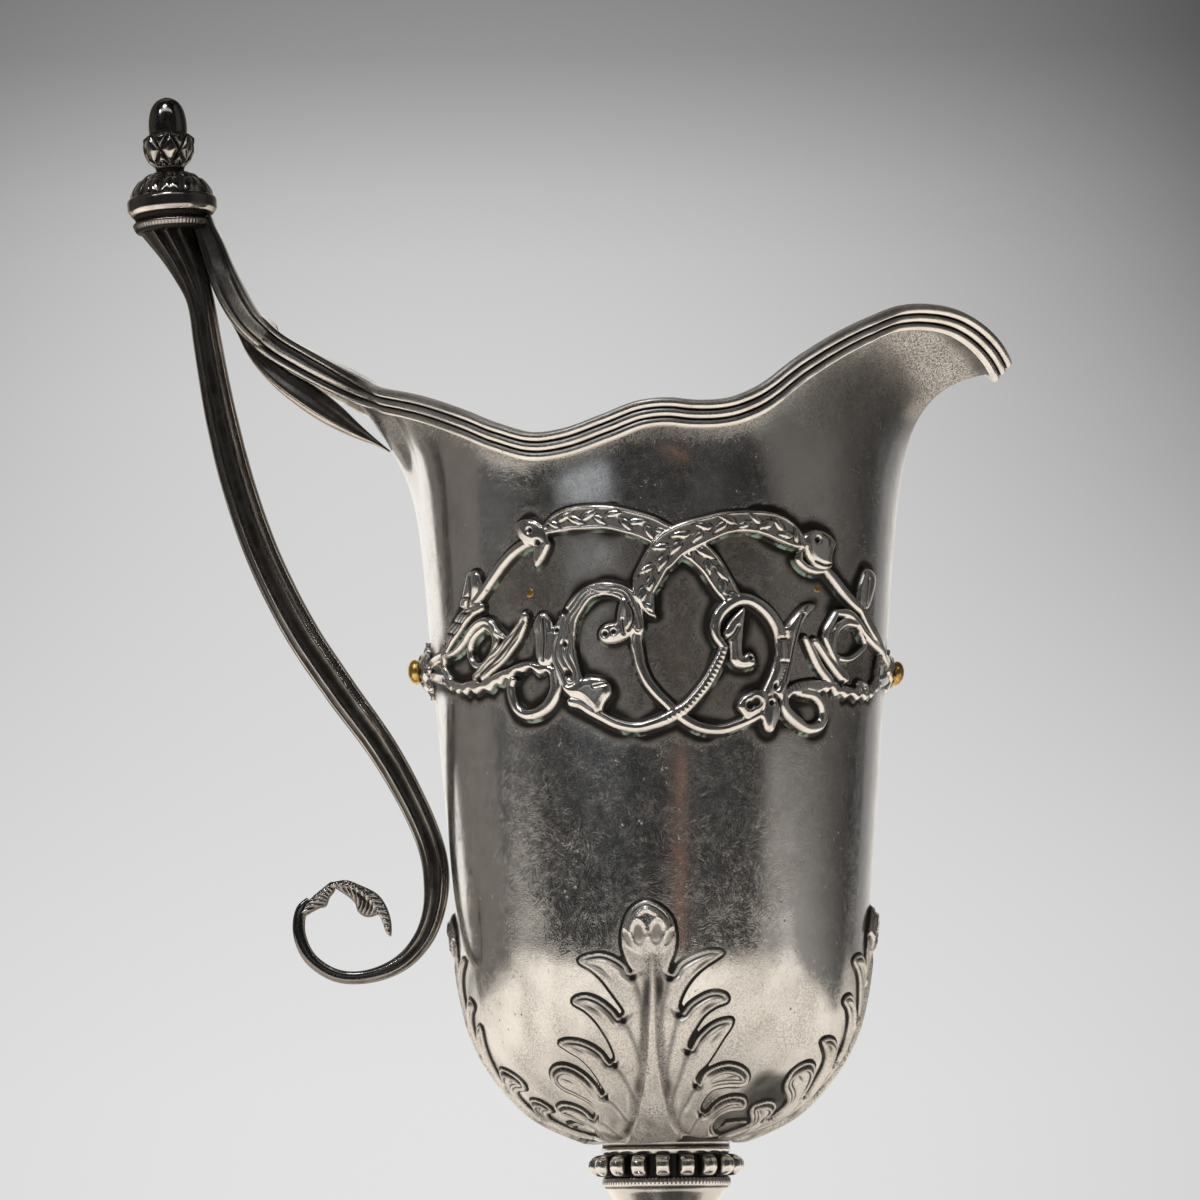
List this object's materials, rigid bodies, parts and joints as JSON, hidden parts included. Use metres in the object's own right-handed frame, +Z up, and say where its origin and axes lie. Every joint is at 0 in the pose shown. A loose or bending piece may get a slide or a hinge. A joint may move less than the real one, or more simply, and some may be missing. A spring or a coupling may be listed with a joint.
{
  "type": "milk jug",
  "caption": "Footed silver milk jug for pouring: bell body with a wavy reeded rim and drooping spout, tall scrolled handle with an acorn finial, applied pierced frieze and acanthus leaves.",
  "frame": {"origin": "centre of the underside of the foot", "axes": "+Z up along the body's axis, +X towards the spout, -X towards the handle, -Y the near broad side"},
  "size_m": [0.1514, 0.0884, 0.2237],
  "materials": {
    "silver_sheet": "polished raised silver with fine scratches and a warm tarnish",
    "silver_cast": "cast and chased silver with dark oxide in the recesses",
    "silver_dark": "cast silver, darker with oxide, polished on the edges",
    "brass": "worn gilt brass"
  },
  "bodies": {
    "root": {"body_shell": "silver_sheet", "brass_pin_1": "brass", "brass_pin_2": "brass", "brass_pin_3": "brass", "brass_pin_4": "brass", "rim_wire": "silver_cast", "handle_upper_branch": "silver_dark", "handle_lower_branch": "silver_dark", "scroll_leaf": "silver_dark", "handle_strap": "silver_dark", "finial_socket": "silver_dark", "finial_collar": "silver_dark", "finial_dome": "silver_dark", "acorn_cup": "silver_dark", "acorn_nut": "silver_dark", "finial_stud": "brass", "frieze_near_half": "silver_cast", "frieze_far_half": "silver_cast", "rosette_spout": "silver_cast", "rosette_stud_spout": "brass", "rosette_handle": "silver_cast", "rosette_stud_handle": "brass", "acanthus_leaf_near": "silver_cast", "acanthus_leaf_spout": "silver_cast", "acanthus_leaf_far": "silver_cast", "acanthus_leaf_handle": "silver_cast", "neck_ring": "silver_cast", "bead_collar": "silver_cast", "stem": "silver_cast", "foot_dome": "silver_sheet", "foot_edge_wire": "silver_cast", "foot_base_plate": "silver_sheet"}
  },
  "joints": []
}
